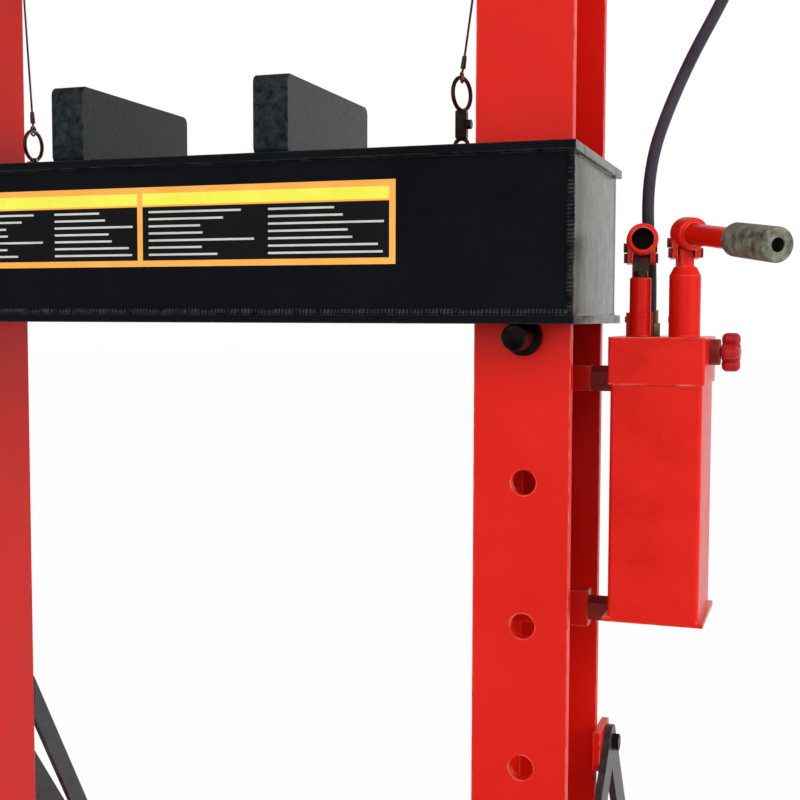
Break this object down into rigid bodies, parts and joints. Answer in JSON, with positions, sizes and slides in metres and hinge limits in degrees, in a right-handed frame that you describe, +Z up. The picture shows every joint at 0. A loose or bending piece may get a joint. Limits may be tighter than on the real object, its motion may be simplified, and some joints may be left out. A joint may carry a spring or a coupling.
{
  "type": "hydraulic press",
  "caption": "Floor-standing hydraulic workshop press: channel-section frame, height-adjustable bed on pins and wire ropes, ram cylinder and side-mounted two-speed hand pump.",
  "frame": {"origin": "on the floor, midway between the two feet, under the ram's axis", "axes": "+X towards the upright that carries the pump, +Y from the front to the back, +Z up along the ram's axis"},
  "size_m": [1.2705, 0.8, 1.8178],
  "materials": {
    "frame_red": "gloss paint",
    "bed_black": "semi-gloss paint",
    "bright_steel": "turned, lightly oiled",
    "dark_steel": "black oxide",
    "zinc_steel": "yellow zinc",
    "wire_rope": "stranded wire",
    "chromed_rod": "hard chrome",
    "grip_rubber": "matt",
    "hose_rubber": "smooth",
    "knob_red": "moulded"
  },
  "bodies": {
    "frame": {"left_upright": "frame_red", "right_upright": "frame_red", "left_foot": "frame_red", "right_foot": "frame_red", "cross_tie": "frame_red", "outer_braces": "bed_black", "brace_lugs": "frame_red", "rear_stays": "bed_black", "beam_bolts": "dark_steel", "brace_bolts": "dark_steel", "front_beam": "frame_red", "rear_beam": "frame_red", "cylinder_plate": "frame_red", "cylinder_body": "frame_red", "cylinder_ring_nut": "dark_steel", "pump_tank": "frame_red", "pump_head": "frame_red", "small_pump_cylinder": "dark_steel", "large_pump_cylinder": "dark_steel", "lever_links": "bed_black", "link_pins": "bright_steel", "release_valve_body": "bright_steel", "pump_brackets": "frame_red", "pump_spacers": "dark_steel", "filler_plug": "dark_steel", "pump_hose": "hose_rubber", "hose_fittings": "zinc_steel", "pulley_brackets": "bed_black", "left_rope_run": "wire_rope", "right_rope_run": "wire_rope", "left_rope_drop": "wire_rope", "right_rope_drop": "wire_rope", "winch_frame": "bed_black"},
    "bed": {"bed_front_beam": "bed_black", "bed_rear_beam": "bed_black", "bed_ends": "bed_black", "bed_spreaders": "bed_black", "left_press_plate": "bed_black", "right_press_plate": "bed_black", "eye_bolts": "zinc_steel", "right_rope_clip": "dark_steel", "rope_rings": "bright_steel"},
    "ram": {"ram_rod": "chromed_rod", "ram_head": "bright_steel"},
    "left_pin": {"left_bed_pin": "bright_steel"},
    "right_pin": {"right_bed_pin": "bright_steel"},
    "small_pump_lever": {"small_lever": "bed_black", "small_lever_pins": "bright_steel"},
    "small_piston": {"small_plunger": "chromed_rod"},
    "large_pump_lever": {"large_lever": "bed_black", "large_lever_pins": "bright_steel", "pump_handle": "bright_steel", "handle_grip": "grip_rubber"},
    "large_piston": {"large_plunger": "chromed_rod"},
    "valve_knob": {"release_knob": "knob_red"},
    "winch": {"winch_drum": "bright_steel", "winch_crank": "bed_black"},
    "left_wheel": {"left_pulley": "bright_steel"},
    "right_wheel": {"right_pulley": "bright_steel"}
  },
  "joints": [
    {"name": "bed_lift", "type": "slide", "parent": "frame", "child": "bed", "axis": [0, 0, 1], "range_m": [0, 0.16], "deforming": ["left_rope_drop", "right_rope_drop"]},
    {"name": "ram_slide", "type": "slide", "parent": "frame", "child": "ram", "axis": [0, 0, -1], "range_m": [0, 0.15]},
    {"name": "left_pin_slide", "type": "slide", "parent": "frame", "child": "left_pin", "axis": [0, -1, 0], "range_m": [0, 0.24]},
    {"name": "right_pin_slide", "type": "slide", "parent": "frame", "child": "right_pin", "axis": [0, -1, 0], "range_m": [0, 0.24]},
    {"name": "small_lever_swing", "type": "hinge", "parent": "frame", "child": "small_pump_lever", "pos_m": [0.52333, 0.02363, 0.987], "axis": [-0.9848, -0.1736, 0], "range_deg": [0, 25]},
    {"name": "small_plunger_slide", "type": "slide", "parent": "frame", "child": "small_piston", "axis": [0, 0, 1], "range_m": [0, 0.0115]},
    {"name": "large_lever_swing", "type": "hinge", "parent": "frame", "child": "large_pump_lever", "pos_m": [0.57214, 0.02757, 0.9925], "axis": [-0.9848, -0.1736, 0], "range_deg": [0, 25]},
    {"name": "large_plunger_slide", "type": "slide", "parent": "frame", "child": "large_piston", "axis": [0, 0, 1], "range_m": [0, 0.0134]},
    {"name": "knob_turn", "type": "hinge", "parent": "frame", "child": "valve_knob", "pos_m": [0.6185, 0, 0.869], "axis": [1, 0, 0], "range_deg": [0, 270]},
    {"name": "winch_turn", "type": "hinge", "parent": "frame", "child": "winch", "pos_m": [-0.529, 0, 1.4], "axis": [0, -1, 0], "range_deg": [0, 306]},
    {"name": "left_pulley_turn", "type": "hinge", "parent": "frame", "child": "left_wheel", "pos_m": [-0.377, 0.069, 1.585], "axis": [0, -1, 0], "range_deg": [0, 306]},
    {"name": "right_pulley_turn", "type": "hinge", "parent": "frame", "child": "right_wheel", "pos_m": [0.317, 0.075, 1.585], "axis": [0, -1, 0], "range_deg": [0, 306]}
  ],
  "couplings": [
    {"joint": "small_plunger_slide", "follows": "small_lever_swing", "m_per_rad": 0.02604},
    {"joint": "large_plunger_slide", "follows": "large_lever_swing", "m_per_rad": 0.02991},
    {"joint": "winch_turn", "follows": "bed_lift", "rad_per_m": 33.33},
    {"joint": "left_pulley_turn", "follows": "bed_lift", "rad_per_m": 33.33},
    {"joint": "right_pulley_turn", "follows": "bed_lift", "rad_per_m": 33.33}
  ]
}
